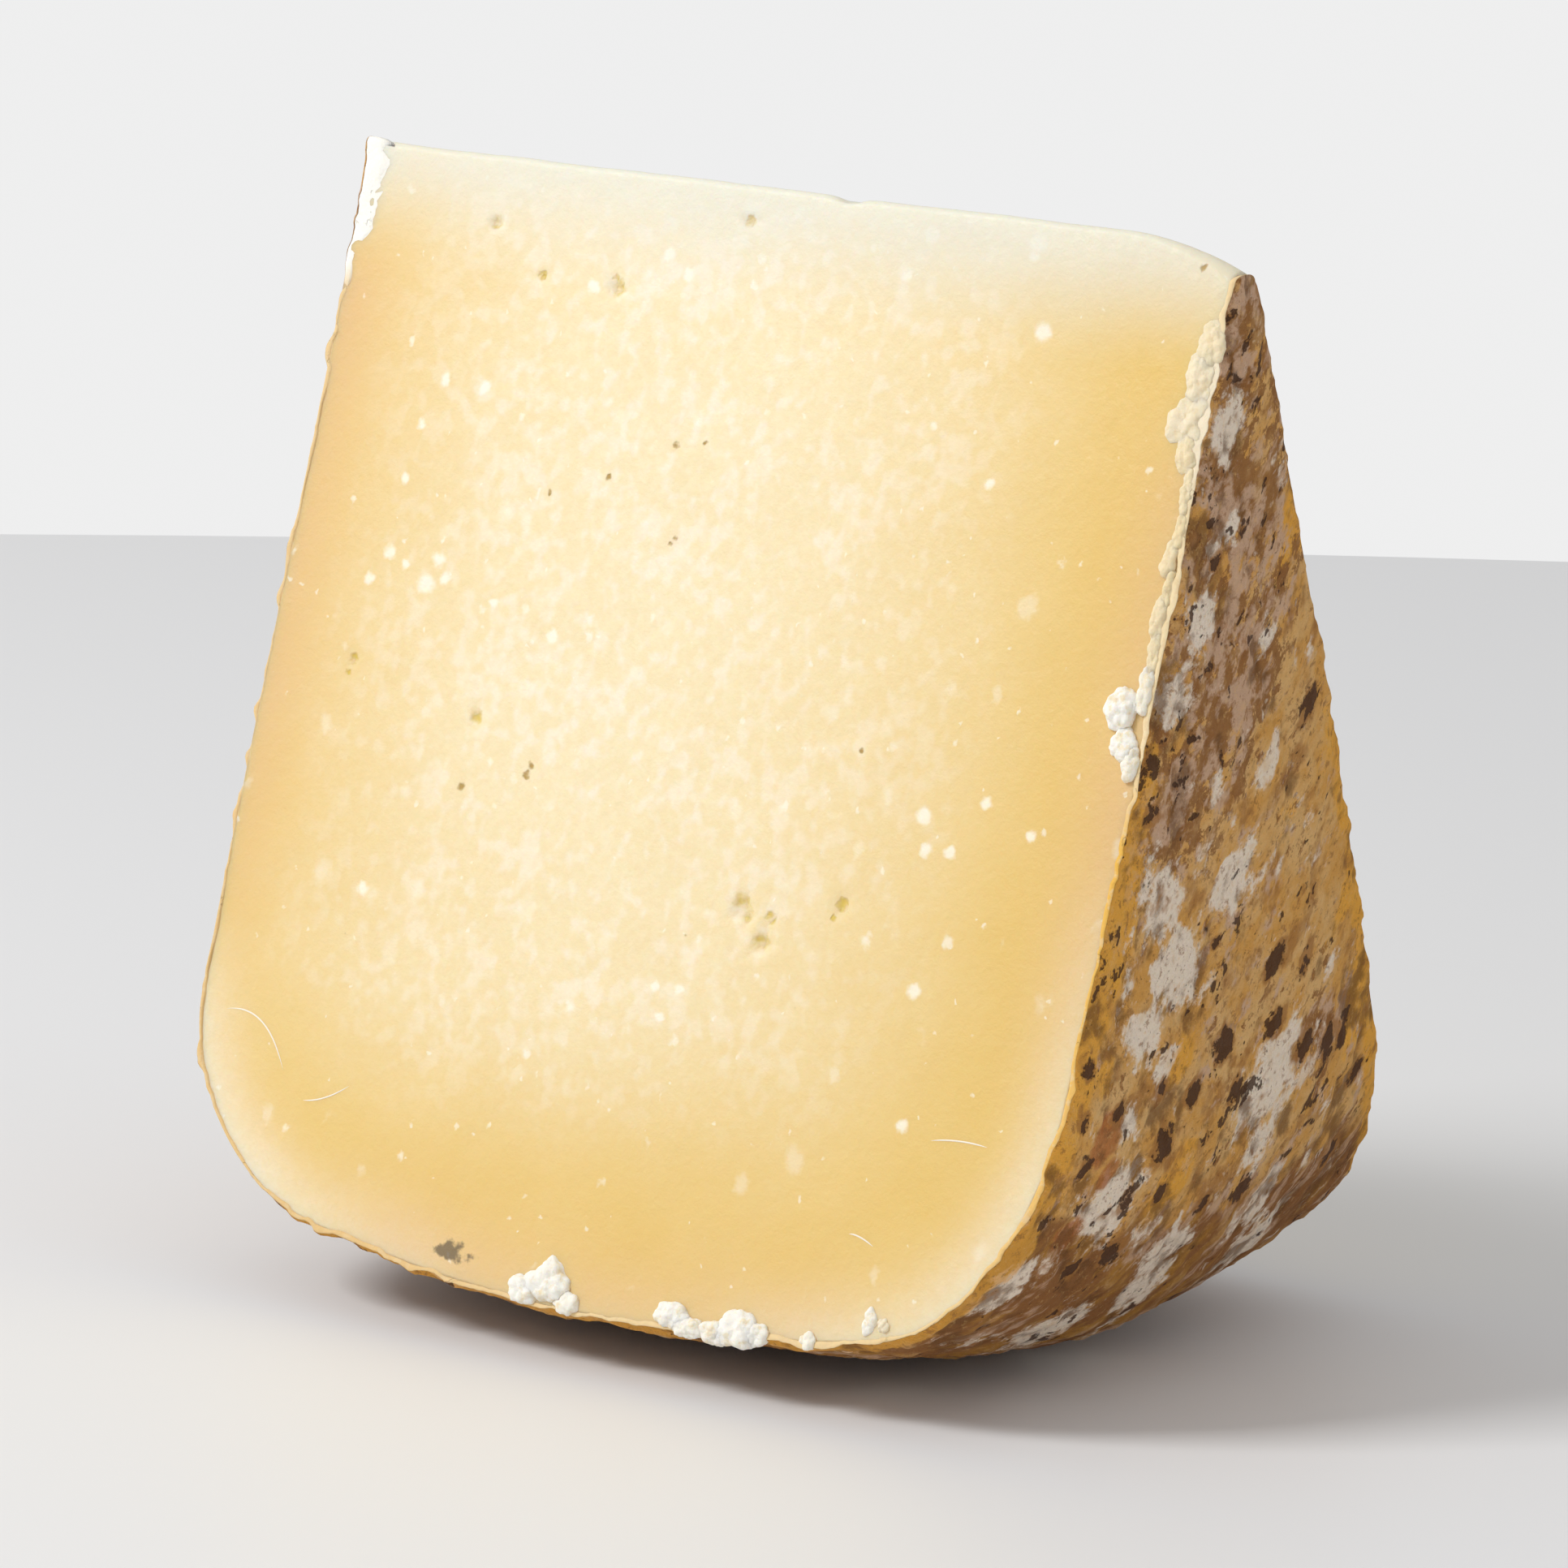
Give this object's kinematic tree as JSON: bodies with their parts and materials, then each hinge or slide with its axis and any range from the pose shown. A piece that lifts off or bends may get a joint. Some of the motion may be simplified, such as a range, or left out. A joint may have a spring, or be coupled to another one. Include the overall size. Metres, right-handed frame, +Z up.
{
  "type": "cheese wedge",
  "caption": "Wedge of aged natural-rind cheese standing on its curved heel, with pale crystal-flecked cut faces and a mottled brown and grey rind.",
  "frame": {"origin": "centre of the wedge's bounding box at its bottom: the level of the flat foot on the heel that it stands on", "axes": "+X along the axis of the wheel, from one flat rind to the other; -Y towards the front cut face and +Y towards the back one; +Z up, from the heel to the tip"},
  "size_m": [0.1156, 0.0756, 0.1195],
  "materials": {
    "paste": "cut cheese paste: satin, slightly translucent, ivory in the middle and golden towards the rind, with white crystals and small eyes",
    "rind": "natural rind: dry and matte, brown and ochre under a grey-white bloom, with dark brown spots"
  },
  "bodies": {
    "root": {"cheese_wedge": "paste"}
  },
  "joints": []
}
